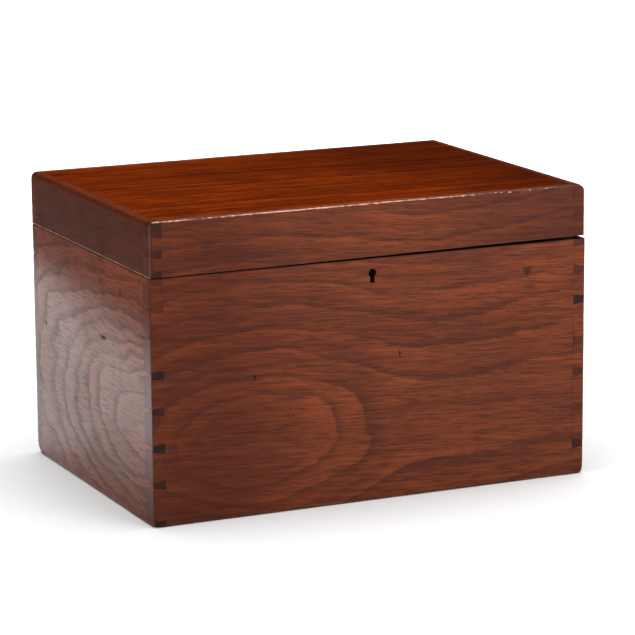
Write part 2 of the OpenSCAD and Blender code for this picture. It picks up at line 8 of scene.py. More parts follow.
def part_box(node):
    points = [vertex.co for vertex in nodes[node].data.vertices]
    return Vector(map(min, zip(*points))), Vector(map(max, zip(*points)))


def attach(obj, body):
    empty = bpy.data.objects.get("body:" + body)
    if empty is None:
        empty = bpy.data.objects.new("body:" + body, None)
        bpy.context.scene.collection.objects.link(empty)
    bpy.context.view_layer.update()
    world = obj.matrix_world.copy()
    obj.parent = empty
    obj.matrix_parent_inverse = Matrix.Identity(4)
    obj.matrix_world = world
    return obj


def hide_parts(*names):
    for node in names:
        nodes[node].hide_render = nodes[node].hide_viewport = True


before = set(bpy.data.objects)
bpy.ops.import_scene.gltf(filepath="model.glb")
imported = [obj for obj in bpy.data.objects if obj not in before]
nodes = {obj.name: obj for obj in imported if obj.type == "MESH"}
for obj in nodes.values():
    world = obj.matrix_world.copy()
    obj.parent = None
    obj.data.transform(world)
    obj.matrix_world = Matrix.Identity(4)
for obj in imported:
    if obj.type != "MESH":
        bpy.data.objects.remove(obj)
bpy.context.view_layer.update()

MM = 0.001
X, Y, Z = 0, 1, 2

# The outer faces of the box, in millimetres
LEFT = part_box("left_board")[0].x / MM
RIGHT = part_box("right_board")[1].x / MM
LID_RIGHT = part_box("lid_right")[1].x / MM
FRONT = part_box("front_board")[0].y / MM
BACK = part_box("back_board")[1].y / MM
BODY_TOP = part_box("left_board")[1].z / MM
LID_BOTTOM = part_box("lid_left")[0].z / MM
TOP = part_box("lid_panel")[1].z / MM
drill_pin_low, drill_pin_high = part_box("lock_drill_pin")
PIN_ROOT = -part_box("left_board")[1].x / MM
TAIL_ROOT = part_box("front_board")[1].y / MM
KEYHOLE_X = (drill_pin_low.x + drill_pin_high.x) / 2 / MM
KEYHOLE_Z = (drill_pin_low.z + drill_pin_high.z) / 2 / MM


# ---- Node trees ----


class Value:
    """A number that a node makes. Arithmetic on values adds the nodes that it needs."""

    def __init__(self, shade, socket):
        self.shade = shade
        self.socket = socket

    def __add__(self, other):
        return self.shade.math("ADD", self, other)

    def __sub__(self, other):
        return self.shade.math("SUBTRACT", self, other)

    def __rsub__(self, other):
        return self.shade.math("SUBTRACT", other, self)

    def __mul__(self, other):
        return self.shade.math("MULTIPLY", self, other)

    def __truediv__(self, other):
        return self.shade.math("DIVIDE", self, other)

    __radd__ = __add__
    __rmul__ = __mul__

    def power(self, exponent):
        return self.shade.math("POWER", self, exponent)

    def size(self):
        return self.shade.math("ABSOLUTE", self)

    def root(self):
        return self.shade.math("SQRT", self)

    def least(self, other):
        return self.shade.math("MINIMUM", self, other)

    def most(self, other):
        return self.shade.math("MAXIMUM", self, other)

    def rise(self, low, high):
        """0 below low, 1 above high, smooth in between."""
        return self.shade.smooth(self, low, high, 0.0, 1.0)

    def fall(self, low, high):
        """1 below low, 0 above high, smooth in between."""
        return self.shade.smooth(self, low, high, 1.0, 0.0)


class Shade:
    """A material's node tree. Each method adds nodes and gives back what they make."""

    def __init__(self, name):
        self.material = bpy.data.materials.new(name)
        self.material.use_nodes = True
        self.nodes = self.material.node_tree.nodes
        self.links = self.material.node_tree.links
        self.nodes.clear()
        self.shader = self.nodes.new("ShaderNodeBsdfPrincipled")
        output = self.nodes.new("ShaderNodeOutputMaterial")
        self.links.new(self.shader.outputs[0], output.inputs["Surface"])
        self.coordinates = self.nodes.new("ShaderNodeTexCoord")

    def put(self, socket, value):
        if isinstance(value, Value):
            value = value.socket
        if isinstance(value, bpy.types.NodeSocket):
            self.links.new(value, socket)
        elif isinstance(value, tuple) and len(value) == 3 and len(socket.default_value) == 4:
            socket.default_value = (*value, 1.0)
        else:
            socket.default_value = value

    def math(self, operation, *values):
        made = self.nodes.new("ShaderNodeMath")
        made.operation = operation
        for socket, value in zip(made.inputs, values):
            self.put(socket, value)
        return Value(self, made.outputs[0])

    def smooth(self, value, low, high, from_value, to_value):
        made = self.nodes.new("ShaderNodeMapRange")
        made.interpolation_type = "SMOOTHSTEP"
        for name, number in (("Value", value), ("From Min", low), ("From Max", high),
                             ("To Min", from_value), ("To Max", to_value)):
            self.put(made.inputs[name], number)
        return Value(self, made.outputs[0])

    def parts(self, socket):
        """A vector's three numbers."""
        made = self.nodes.new("ShaderNodeSeparateXYZ")
        self.links.new(socket, made.inputs[0])
        return [Value(self, output) for output in made.outputs]

    def place(self):
        """The point of the surface, in millimetres."""
        return [part * (1 / MM) for part in self.parts(self.coordinates.outputs["Object"])]

    def facing(self):
        """The surface's direction."""
        return self.parts(self.coordinates.outputs["Normal"])

    def vector(self, x, y, z):
        made = self.nodes.new("ShaderNodeCombineXYZ")
        for socket, value in zip(made.inputs, (x, y, z)):
            self.put(socket, value)
        return made.outputs[0]

    def noise(self, x, y, z, detail=2.0, rough=0.5):
        made = self.nodes.new("ShaderNodeTexNoise")
        self.put(made.inputs["Vector"], self.vector(x, y, z))
        self.put(made.inputs["Scale"], 1.0)
        self.put(made.inputs["Detail"], detail)
        self.put(made.inputs["Roughness"], rough)
        return Value(self, made.outputs[0])

    def cells(self, x, y, z):
        """Distance to the nearest of points that are scattered one to a unit cube."""
        made = self.nodes.new("ShaderNodeTexVoronoi")
        self.put(made.inputs["Vector"], self.vector(x, y, z))
        self.put(made.inputs["Scale"], 1.0)
        return Value(self, made.outputs["Distance"])

    def mix(self, amount, start, end):
        """A colour from start, at 0, to end, at 1."""
        made = self.nodes.new("ShaderNodeMix")
        made.data_type = "RGBA"
        self.put(made.inputs[0], amount)
        self.put(made.inputs[6], start)
        self.put(made.inputs[7], end)
        return made.outputs[2]

    def bump(self, height, depth):
        """Relief in the shading: height runs from 0 to 1, and depth is the relief's depth in millimetres."""
        made = self.nodes.new("ShaderNodeBump")
        self.put(made.inputs["Height"], height)
        self.put(made.inputs["Distance"], depth * MM)
        self.put(made.inputs["Strength"], 1.0)
        self.links.new(made.outputs[0], self.shader.inputs["Normal"])

    def set(self, **inputs):
        """Sets the shader's inputs: base_color=..., roughness=..."""
        for name, value in inputs.items():
            self.put(self.shader.inputs[name.replace("_", " ").title().replace("Ior", "IOR")], value)


# ---- Old mahogany ----

# Each palette is the wood's darkest, middle and lightest colour
FRONT_COLOURS = ((0.040, 0.0118, 0.0078), (0.078, 0.0155, 0.0060), (0.260, 0.0560, 0.0145))
SIDE_COLOURS = ((0.034, 0.0080, 0.0035), (0.115, 0.0220, 0.0060), (0.200, 0.0430, 0.0120))
TOP_COLOURS = ((0.018, 0.0026, 0.0006), (0.054, 0.0052, 0.0005), (0.290, 0.0380, 0.0013))
# Painted shade: the colour that the left part of the front is darkened towards, where less light falls on it
FRONT_LEFT_PAINTED_SHADE = (0.040, 0.0050, 0.0010)
# Painted shade: the colour that the lid is darkened towards
LID_PAINTED_SHADE = (0.020, 0.0028, 0.0008)
PIN_ENDS = ((0.012, 0.0056, 0.0040), (0.034, 0.0112, 0.0064))
TAIL_ENDS = ((0.050, 0.0130, 0.0060), (0.095, 0.0220, 0.0090))
# Bare wood, also the colour of the painted highlights along the top front edge and the lid's lower left edge
BARE_WOOD_AND_HIGHLIGHT = (0.56, 0.33, 0.235)
RUBBED = (0.15, 0.085, 0.068)
# Grime, also the colour of the painted shade in the seam between the body and the lid
GRIME_AND_SEAM_SHADE = (0.012, 0.008, 0.007)
# Painted shade for the metal parts behind the keyhole and in the seam
KEYHOLE_AND_SEAM_SHADE = (0.006, 0.005, 0.004)
POLISH_ROUGHNESS = 0.13

# Where the growth lines lie, as values of each figure's field, in millimetres
FRONT_LINES = (29, 40, 56, 69, 83, 97, 112, 127, 141)
SIDE_LINES = (20, 33, 40, 47.5, 56, 64, 74, 86, 99, 112)
TOP_LINES = (-84, -52, -23, 12, 39, 61, 90)


def loop_figure(shade, x, y, z):
    """Growth lines that close in long loops at the left of the front and run level to its right end."""
    centre_x = -80
    centre_z = 48
    stretch = 1.9
    level_from = 95
    bend = 30.0
    lift_at_right = x.rise(60, 150) * 9
    run = shade.math("SMOOTH_MIN", x - centre_x, level_from, bend)
    rise = z - lift_at_right - centre_z + y * 0.3 - FRONT * 0.3
    return near_line(run / stretch, rise)


def tongue_figure(shade, x, y, z):
    """Long nested tongues that point to the back, blunt at the tip, from a centre near the front edge."""
    stretch = 2.7
    centre_y = -105
    centre_z = 62
    bluntness = 2.5
    run = ((y - centre_y) / stretch).size()
    rise = (z - centre_z).size()
    lumps = shade.noise(x * 0.02, y * 0.022, z * 0.045, 1.0) - 0.5
    tongue = (run.power(bluntness) + rise.power(bluntness)).power(1 / bluntness)
    return tongue + (x - LEFT) * 0.08 + lumps * 12


def straight_figure(shade, x, y, z):
    """Nearly straight lines along the top, with one slow bend."""
    return y + (x * 0.012).rise(-1.5, 1.5) * 14 + z * 0.2


def growth_lines(field, places):
    """The light bands and the thin dark lines that end them, wherever the field passes one of the places."""
    bands = lines = None
    for place in places:
        past = field - place
        band = past.rise(-7, -0.6) * past.fall(-0.6, 0.3)
        line = past.rise(-0.5, 0.3) * past.fall(0.7, 3.8)
        bands = band if bands is None else bands + band
        lines = line if lines is None else lines + line
    return bands, lines


def near_line(a, b):
    """Distance in millimetres from the line where two plane distances a and b are both 0."""
    return (a * a + b * b).root()


def front_edge_highlight_and_wear(shade, x, y, z):
    """Along the top front edge: a thin light line at the left, painted highlight on bare wood, and broken
    chips of bare wood at the right.
    """
    distance = near_line(y - FRONT, TOP - z)
    ragged = shade.noise(x * 0.35, y * 0.6, z * 0.6, 3.0, 0.65)
    line = (distance + ragged * 1.6).fall(1.15, 1.75) * x.fall(40, 90) * 0.9
    broken = shade.noise(x * 0.13, 3.0, 7.0, 2.0).rise(0.44, 0.5)
    chips = (distance + ragged * 7.0).fall(3.4, 3.9) * broken * x.rise(20, 60) * x.fall(138, 147)
    return line.most(chips * 0.8)


def corner_wear(shade, x, y, z):
    """Rubbed wood along the lid's upright edges and the base."""
    ragged = shade.noise(x * 0.2, y * 0.2, z * 0.2, 3.0, 0.6)
    upright = near_line((x.size() - RIGHT).size(), y - FRONT)
    base = near_line((x.size() - RIGHT).size(), z).least(near_line(y - FRONT, z))
    rubbed = (upright + ragged * 2.2).fall(1.3, 2.6) * z.rise(BODY_TOP - 1, LID_BOTTOM + 1) * 0.55
    worn_base = (base + ragged * 4).fall(2.0, 4.0) * 0.25
    return rubbed.most(worn_base)


def seam_painted_highlight(shade, x, y, z):
    """Painted highlight: a light line along the lid's lower left edge, where the edge catches the light."""
    ragged = shade.noise(x * 0.2, y * 0.15, z * 0.2, 3.0, 0.6)
    seam = near_line(x - LEFT, z - LID_BOTTOM)
    return (seam + ragged * 1.1).fall(0.8, 1.35) * y.fall(98, 103) * 0.55


def seam_painted_shade(shade, x, y, z):
    """Painted shade in the seam: darkens the meeting faces of the body and the lid, and the body's top edge,
    where the gap between them lies in shade.
    """
    flat = shade.facing()[Z].size().rise(0.5, 0.8)
    along_edge = z.rise(BODY_TOP - 0.9, BODY_TOP - 0.1) * 0.8
    on_meeting_faces = flat * (z - BODY_TOP).size().fall(2.5, 3.0)
    return on_meeting_faces.most(along_edge * z.fall(BODY_TOP, BODY_TOP + 0.3))


def scribed_lines(shade, x, y, z):
    """The faint gauge lines at the roots of the dovetails, on the front and on the sides."""
    patchy = shade.noise(x * 0.05, y * 0.05, z * 0.06, 2.0).rise(0.45, 0.6) * 0.5
    on_front = (x.size() - PIN_ROOT).size().fall(0.15, 0.5) * y.fall(FRONT + 0.5, FRONT + 1)
    on_side = (y - TAIL_ROOT).size().fall(0.15, 0.6) * x.fall(LEFT + 0.5, LEFT + 1)
    return (on_front + on_side) * patchy


def spot(point, centre, reach):
    """1 at the centre of a small mark, 0 outside its reach, all in millimetres."""
    total = None
    for value, middle, radius in zip(point, centre, reach):
        across = (value - middle) / radius
        total = across * across if total is None else total + across * across
    return total.fall(0.3, 1.0)


def wedge_mark(shade, x, y, z):
    """Dark wedge near the upper right corner of the front: flat above, pointed below."""
    middle_x = 108
    high_z = 141.2
    low_z = 133
    ragged = shade.noise(x * 0.5, y * 0.5, z * 0.5, 2.0) - 0.5
    half_width = (z - low_z) * 0.62 + ragged * 3
    inside = (half_width - (x - middle_x).size()).rise(-0.8, 2.4)
    below_top = (z + ragged * 1.5).fall(high_z - 1.8, high_z)
    return inside.least(below_top) * y.fall(FRONT + 2, FRONT + 3) * 0.95


def marks(shade, x, y, z):
    """The small dark dents and knots of the front and the left side."""
    point = (x, y, z)
    found = wedge_mark(shade, x, y, z)
    for centre, reach in (((-82, FRONT, 88), (1.3, 2, 2.3)),
                          ((17.5, FRONT, 93), (0.75, 2, 3.2)),
                          ((LEFT, 81, 93), (2, 2.2, 1.6)),
                          ((LEFT, -25, 104), (2, 5.5, 1.7)),
                          ((LEFT, -56, 138), (2, 3.4, 2.2))):
        found = found.most(spot(point, centre, reach))
    return found


def side_polish(shade, x, y, z):
    """How much old polish is left on the sides: most in the middle, least below the lid and at the foot."""
    smear = shade.noise(x * 0.03, y * 0.02, z * 0.03, 3.0, 0.6).rise(0.3, 0.6) * 0.25 + 0.75
    below_lid = (z - y * 0.13).fall(88, 158) * 0.86 + y.rise(-110, 110) * 0.10
    at_foot = (z + (y - FRONT) * 0.22).rise(0, 66) * 0.8 + 0.2
    return smear * below_lid * at_foot


def lid_painted_shade(shade, x, y, z):
    """Painted shade that darkens the lid's colour, most of all at its left end, its right end and its back.
    """
    on_side = (LEFT + 3 - x).rise(0, 2) * 0.64
    on_front = y.fall(FRONT + 2, FRONT + 3) * (x.rise(0, 150) * 0.30 + 0.17) * x.rise(LEFT, -90)
    on_top = z.rise(TOP - 2, TOP - 1) * (x + y * 0.4).rise(-30, 150) * 0.62
    on_rim = z.rise(TOP - 4, TOP - 1) * x.fall(LEFT + 5.5, LEFT + 6.5) * 0.5
    return z.rise(BODY_TOP, LID_BOTTOM) * on_side.most(on_front).most(on_top).most(on_rim)


def front_polish(shade, x, y, z):
    """How much old polish is left on the front, the back and the top: little, and less to the left."""
    return x.rise(-160, 0) * 0.05


def mahogany(name, grain, slope, figure, lines, colours, polish, shine, rough, strength, relief):
    """Old polished mahogany.

    grain is the axis that the grain runs along, and slope is how far it falls on the way. figure and lines
    place the growth lines, and strength is how strong they are. polish gives the polish that is left. shine
    and rough are the bare wood's reflection and roughness, and relief is the depth of the open pores.
    """
    shade = Shade(name)
    x, y, z = shade.place()
    along, beside = (x, y) if grain == X else (y, x)
    deep, middle, light = colours

    wobble = shade.noise(along * 0.016, beside * 0.04, z * 0.04, 4.0, 0.6) - 0.5
    field = figure(shade, x, y, z) + wobble * 14
    bands, dark_lines = growth_lines(field, lines)
    patchy = shade.noise(along * 0.012, beside * 0.03, z * 0.03, 2.0).rise(0.3, 0.6) * 0.6 + 0.4
    growth = shade.noise(field * 0.09, along * 0.002, 0.5, 4.0, 0.65).rise(0.34, 0.66)

    level = z + along * slope
    streak = shade.noise(along * 0.030, beside * 0.62, level * 0.62, 3.0, 0.7).rise(0.36, 0.66)
    band = shade.noise(along * 0.009, beside * 0.17, level * 0.17, 3.0, 0.6).rise(0.35, 0.65)
    pore = shade.noise(along * 0.060, beside * 0.90, level * 0.90, 2.0, 0.6).rise(0.50, 0.61)
    cloud = shade.noise(x * 0.011 + 4.0, y * 0.014, z * 0.016, 3.0, 0.55).rise(0.36, 0.64)

    warmth = growth * 0.24 + streak * 0.34 + band * 0.20 + bands * patchy * 0.45 * strength
    colour = shade.mix(warmth, middle, light)
    colour = shade.mix(cloud * 0.28, colour, deep)
    # Painted shade: darkens the left part of the front, where less light falls on it
    front_left_painted_shade = (x + z * 0.15).fall(-95, -25) * y.fall(FRONT + 4, FRONT + 8)
    colour = shade.mix(front_left_painted_shade * 0.45, colour, FRONT_LEFT_PAINTED_SHADE)
    # Painted shade on the lid
    colour = shade.mix(lid_painted_shade(shade, x, y, z), colour, LID_PAINTED_SHADE)
    ring = dark_lines * patchy * strength
    colour = shade.mix(ring * 0.8, colour, deep)
    colour = shade.mix(pore * 0.55, colour, deep)

    speck = shade.noise(x * 0.45, y * 1.1, z * 1.1, 2.0, 0.7).rise(0.72, 0.78)
    worn = corner_wear(shade, x, y, z)
    # bare is bare wood and light specks, with painted highlights along the top front edge and the lid's
    # lower left edge
    bare = front_edge_highlight_and_wear(shade, x, y, z).most(seam_painted_highlight(shade, x, y, z)).most(speck * 0.25)
    # dents holds the dents, knots and gauge lines, and also the painted shade of the seam
    dents = marks(shade, x, y, z).most(scribed_lines(shade, x, y, z)).most(seam_painted_shade(shade, x, y, z))
    colour = shade.mix(worn, colour, RUBBED)
    colour = shade.mix(bare, colour, BARE_WOOD_AND_HIGHLIGHT)
    colour = shade.mix(dents * 0.85, colour, GRIME_AND_SEAM_SHADE)

    smear = shade.noise(x * 0.03, y * 0.05, z * 0.04, 3.0, 0.65)
    scuff = shade.noise(x * 0.018 + y * 0.01, y * 0.035 - x * 0.01, z * 0.03, 4.0, 0.7).rise(0.56, 0.68)
    roughness = rough + smear * 0.10 + worn * 0.25 + bare * 0.2 + pore * 0.06 + scuff * 0.10
    coat = polish(shade, x, y, z) * (1 - ring * 0.45 - pore * 0.14 + bands * 0.08) * (1 - dents * 0.9)

    shade.bump(1.0 - pore * 0.5 + streak * 0.2, relief)
    shade.set(base_color=colour, roughness=roughness, specular_ior_level=shine, coat_weight=coat,
              coat_roughness=POLISH_ROUGHNESS)
    return shade.material


def end_grain(name, colours, polish, shine, rough):
    """The ends of the boards, where they show in the dovetails: open vessels, and darker in some places."""
    shade = Shade(name)
    x, y, z = shade.place()
    dark, light = colours
    vessels = shade.noise(x * 0.9, y * 0.9, z * 0.9, 3.0, 0.7).rise(0.40, 0.68)
    clear_at_right = (z - 116).size().fall(4, 9).most((z - 20.5).size().fall(4, 9)) * x.rise(0, 100)
    clear_at_left = x.fall(-100, 0) * z.fall(98, 106).most(z.rise(BODY_TOP, LID_BOTTOM) * 0.8)
    clear_pins = clear_at_right.most(clear_at_left)
    blotch = shade.noise(x * 0.03, y * 0.03, z * 0.045, 2.0).rise(0.38, 0.6)
    faint = (1 - clear_pins) * 0.75 + blotch * 0.35
    colour = shade.mix(vessels * 0.6, dark, light)
    colour = shade.mix(faint, colour, FRONT_COLOURS[1])
    worn = corner_wear(shade, x, y, z)
    # bare is bare wood, with painted highlights along the top front edge and the lid's lower left edge
    bare = front_edge_highlight_and_wear(shade, x, y, z).most(seam_painted_highlight(shade, x, y, z))
    crack = shade.noise(x * 0.5, y * 0.12, z * 1.1, 2.0, 0.6).rise(0.66, 0.72) * 0.5
    # lines holds the gauge lines and cracks, and also the painted shade of the seam
    lines = scribed_lines(shade, x, y, z).most(seam_painted_shade(shade, x, y, z)).most(crack)
    colour = shade.mix(worn * 0.7, colour, RUBBED)
    colour = shade.mix(bare, colour, BARE_WOOD_AND_HIGHLIGHT)
    colour = shade.mix(lines * 0.85, colour, GRIME_AND_SEAM_SHADE)
    shade.bump(vessels * 0.4, 0.01)
    shade.set(base_color=colour, roughness=rough + vessels * 0.12, specular_ior_level=shine,
              coat_weight=polish(shade, x, y, z) * (1 - lines * 0.5) * 0.92,
              coat_roughness=POLISH_ROUGHNESS)
    return shade.material


def joint_grime():
    """Dirt and old glue in the fine groove between two boards."""
    shade = Shade("joint_grime")
    x, y, z = shade.place()
    patches = shade.noise(x * 0.07, y * 0.07, z * 0.07, 2.0).rise(0.42, 0.58)
    upright = shade.facing()[Z].size().rise(0.3, 0.6)
    grit = shade.noise(x * 1.5, y * 1.5, z * 1.5, 2.0)
    colour = shade.mix(patches * 0.6 + upright * 0.4, GRIME_AND_SEAM_SHADE, SIDE_COLOURS[1])
    shade.bump(grit, 0.05)
    shade.set(base_color=colour, roughness=0.55 + grit * 0.3, specular_ior_level=0.2)
    return shade.material


# ---- Finishes of the parts inside ----


def plain_wood(name, grain, pale, brown, gloss):
    """Straight-grained wood for the parts inside."""
    shade = Shade(name)
    x, y, z = shade.place()
    along, beside = (x, y) if grain == X else (y, x)
    wobble = shade.noise(along * 0.012, beside * 0.03, z * 0.03, 2.0) * 14
    ring = shade.noise((beside + z * 0.6 + wobble) * 0.16, along * 0.002, 0.0, 3.0, 0.6).rise(0.35, 0.65)
    pore = shade.noise(along * 0.05, beside * 1.1, z * 1.1, 2.0, 0.6).rise(0.5, 0.72)
    stain = shade.noise(x * 0.02, y * 0.02, z * 0.02, 3.0).rise(0.4, 0.7)
    colour = shade.mix(ring, pale, brown)
    colour = shade.mix(pore * 0.5, colour, tuple(part * 0.35 for part in brown))
    colour = shade.mix(stain * 0.3, colour, tuple(part * 0.5 for part in brown))
    end = shade.facing()[grain].size().rise(0.55, 0.8)
    colour = shade.mix(end * 0.5, colour, tuple(part * 0.4 for part in brown))
    shade.bump(1.0 - pore * 0.4 + ring * 0.2, 0.12)
    shade.set(base_color=colour, roughness=gloss + pore * 0.15, specular_ior_level=0.4)
    return shade.material


def lead_foil():
    """Dull tea-lead lining with soft creases."""
    shade = Shade("tea_lead")
    x, y, z = shade.place()
    crease = shade.cells(x * 0.09, y * 0.09, z * 0.09)
    dull = shade.noise(x * 0.05, y * 0.05, z * 0.05, 4.0, 0.6)
    grain = shade.noise(x * 1.4, y * 1.4, z * 1.4, 2.0)
    colour = shade.mix(dull.rise(0.35, 0.7), (0.34, 0.34, 0.34), (0.17, 0.165, 0.16))
    shade.bump(crease * 0.8 + grain * 0.1, 0.5)
    shade.set(base_color=colour, metallic=0.85, roughness=0.38 + dull * 0.25)
    return shade.material


def green_baize():
    """Felted wool, a little faded where the bowl stood."""
    shade = Shade("baize")
    x, y, z = shade.place()
    fluff = shade.noise(x * 2.2, y * 2.2, z * 2.2, 3.0, 0.7)
    nap = shade.noise(x * 0.08, y * 0.35, z * 0.2, 3.0, 0.6)
    faded = near_line(x, y).fall(25, 42) * 0.35
    colour = shade.mix(fluff, (0.012, 0.055, 0.022), (0.035, 0.13, 0.05))
    colour = shade.mix(nap.rise(0.4, 0.7) * 0.3, colour, (0.010, 0.035, 0.016))
    colour = shade.mix(faded, colour, (0.10, 0.16, 0.08))
    shade.bump(fluff, 0.5)
    shade.set(base_color=colour, roughness=0.95, specular_ior_level=0.15, sheen_weight=0.4,
              sheen_roughness=0.5)
    return shade.material


def lining_paper():
    """Old laid paper, browned and foxed."""
    shade = Shade("lining_paper")
    x, y, z = shade.place()
    laid = shade.math("SINE", y * 4.5) * 0.5 + 0.5
    fibre = shade.noise(x * 0.9, y * 0.5, z * 0.9, 3.0, 0.65)
    foxing = shade.noise(x * 0.09, y * 0.09, z * 0.09, 4.0, 0.6).rise(0.58, 0.72)
    from_side = (x.size() - RIGHT).size().least(40)
    from_end = (y.size() - BACK).size().least(40)
    browned = near_line(from_side, from_end).fall(15, 38)
    colour = shade.mix(fibre, (0.46, 0.36, 0.22), (0.58, 0.48, 0.32))
    colour = shade.mix(foxing * 0.6, colour, (0.27, 0.15, 0.06))
    colour = shade.mix(browned * 0.4, colour, (0.28, 0.18, 0.09))
    shade.bump(laid * 0.4 + fibre, 0.08)
    shade.set(base_color=colour, roughness=0.85, specular_ior_level=0.2)
    return shade.material


def old_metal(name, bright, tarnished, stained, gloss):
    """Brass or steel: brushed, tarnished in patches, with a few stains, and darkened by painted shade behind
    the keyhole and in the seam.
    """
    shade = Shade(name)
    x, y, z = shade.place()
    patch = shade.noise(x * 0.12, y * 0.12, z * 0.12, 4.0, 0.6).rise(0.38, 0.68)
    brushed = shade.noise(x * 0.25, y * 2.4, z * 2.4, 2.0, 0.6)
    speck = shade.noise(x * 0.8, y * 0.8, z * 0.8, 3.0, 0.6).rise(0.6, 0.72)
    colour = shade.mix(patch, bright, tarnished)
    colour = shade.mix(speck * 0.6, colour, stained)
    # Painted shade: the metal behind the keyhole and in the seam between lid and body is darkened
    behind_keyhole = near_line(x - KEYHOLE_X, z - KEYHOLE_Z).fall(6, 10) * y.fall(FRONT + 14, FRONT + 17)
    in_seam = (z - LID_BOTTOM).size().fall(3, 4) * y.fall(FRONT + 9, FRONT + 14)
    recess_painted_shade = behind_keyhole.most(in_seam * 0.93)
    colour = shade.mix(recess_painted_shade, colour, KEYHOLE_AND_SEAM_SHADE)
    shade.bump(brushed * 0.6 - speck, 0.04)
    shade.set(base_color=colour, metallic=1.0, roughness=gloss + patch * 0.16 + speck * 0.2 + brushed * 0.06)
    return shade.material


# ---- Worn boards ----

# Edges of the box that hands and tables have worn. Each is the axis it runs along, the two faces that
# meet there as (axis, place, inward), where it starts and ends, its steady wear and the depth of its
# chips, in millimetres.
WORN_EDGES = [
    (X, (Y, FRONT, 1), (Z, TOP, -1), LEFT, LID_RIGHT, 0.15, 0.55),
    (X, (Y, BACK, -1), (Z, TOP, -1), LEFT, LID_RIGHT, 0.10, 0.40),
    (Y, (X, LEFT, 1), (Z, TOP, -1), FRONT, BACK, 0.10, 0.40),
    (Y, (X, LID_RIGHT, -1), (Z, TOP, -1), FRONT, BACK, 0.10, 0.40),
    (X, (Y, FRONT, 1), (Z, 0, 1), LEFT, RIGHT, 0.20, 0.70),
    (X, (Y, BACK, -1), (Z, 0, 1), LEFT, RIGHT, 0.20, 0.60),
    (Y, (X, LEFT, 1), (Z, 0, 1), FRONT, BACK, 0.20, 0.70),
    (Y, (X, RIGHT, -1), (Z, 0, 1), FRONT, BACK, 0.20, 0.70),
]
for body_x, lid_x, inward in ((LEFT, LEFT, 1), (RIGHT, LID_RIGHT, -1)):
    for y, inward_y in ((FRONT, 1), (BACK, -1)):
        WORN_EDGES.append((Z, (X, body_x, inward), (Y, y, inward_y), 0, BODY_TOP, 0.08, 0.45))
        WORN_EDGES.append((Z, (X, lid_x, inward), (Y, y, inward_y), LID_BOTTOM, TOP, 0.08, 0.35))

# Larger chips: a point on an edge, the depth and the reach, in millimetres
CHIPS = [
    ((105, FRONT, TOP), 1.1, 5.0),
    ((116, FRONT, TOP), 1.0, 4.0),
    ((78, FRONT, TOP), 0.8, 4.0),
    ((92, FRONT, TOP), 0.6, 3.5),
    ((133, FRONT, TOP), 0.7, 3.5),
    ((-118, FRONT, TOP), 0.6, 3.0),
    ((LEFT, FRONT, 0), 1.3, 6.0),
    ((RIGHT, FRONT, 0), 0.8, 5.0),
    ((LEFT, BACK, 0), 1.6, 7.0),
    ((RIGHT, BACK, 0), 1.4, 6.0),
    ((LID_RIGHT, FRONT, TOP), 0.8, 5.0),
    ((LEFT, BACK, TOP), 0.7, 5.0),
]

# How far wear reaches from an edge, the strips and the length that faces there are cut into, the width of
# the grooves at the joints, and how near a face a point must be to lie on it, in millimetres
WEAR_REACH = 3.6
STRIPS = (0.5, 1.2, 2.2, WEAR_REACH)
LENGTH = 1.6
GROOVE = 0.13
ON_FACE = 0.01

# The material slots of a worn board
GROOVE_SLOT = 1
END_SLOT = 2


def edge_distance(edge, point):
    """How far a point is from an edge's line, or None past the edge's ends."""
    run, (axis_a, place_a, _), (axis_b, place_b, _), start, end, _, _ = edge
    if not start - 1 <= point[run] <= end + 1:
        return None
    return math.hypot(point[axis_a] - place_a, point[axis_b] - place_b)


def edge_wear(number, edge, point):
    """How deep the edge has worn beside this point."""
    run, steady, chips = edge[0], edge[5], edge[6]
    at = point[run]
    fine = noise.noise(Vector((at * 0.31, number * 7.3, 1.5)))
    slow = noise.noise(Vector((at * 0.035, number * 3.1, 8.5)))
    return steady * (1 + slow) + chips * max(0.0, fine + 0.4 * slow) ** 1.5


def worn_point(point):
    """Where a point of the new box is on the old one. Points only move inwards."""
    moved = Vector(point)
    for number, edge in enumerate(WORN_EDGES):
        distance = edge_distance(edge, point)
        if distance is None or distance >= WEAR_REACH:
            continue
        depth = edge_wear(number, edge, point) * (1 - distance / WEAR_REACH) ** 1.5
        for axis, _, inward in edge[1:3]:
            moved[axis] += inward * depth * 0.7
    for centre, depth, reach in CHIPS:
        away = (Vector(point) - Vector(centre)).length
        if away < reach:
            inward = Vector((0 if abs(centre[0]) < LID_RIGHT else -centre[0], -centre[1], 0)).normalized()
            inward.z = -0.8 if centre[2] > BODY_TOP else 0.8
            moved += inward.normalized() * depth * (1 - away / reach) ** 1.5
    return moved


def is_joint_edge(edge):
    """True for a sharp edge where a joint comes to one of the box's outer faces."""
    if len(edge.link_faces) != 2:
        return False
    middle = (edge.verts[0].co + edge.verts[1].co) / 2
    for axis, places in ((X, (LEFT, RIGHT, LID_RIGHT)), (Y, (FRONT, BACK)), (Z, (0, TOP))):
        ends = [vert.co[axis] / MM for vert in edge.verts]
        if not all(any(abs(end - place) < ON_FACE for place in places) for end in ends):
            continue
        facing = sorted(abs(face.normal[axis]) for face in edge.link_faces)
        at_seam = axis != Z and BODY_TOP - 1 < middle.z / MM < LID_BOTTOM + 2
        if facing[1] > 0.99 and facing[0] < 0.3 and not at_seam:
            return True
    return False


def cut(mesh, faces, axis, place):
    """Cuts faces on a plane across an axis, and gives back the faces that are there now."""
    normal = Vector((axis == X, axis == Y, axis == Z))
    parts = set(faces)
    for face in faces:
        parts.update(face.edges)
        parts.update(face.verts)
    made = bmesh.ops.bisect_plane(mesh, geom=list(parts), dist=1e-6, plane_co=normal * place * MM,
                                  plane_no=normal)
    return [part for part in made["geom"] if isinstance(part, bmesh.types.BMFace)]


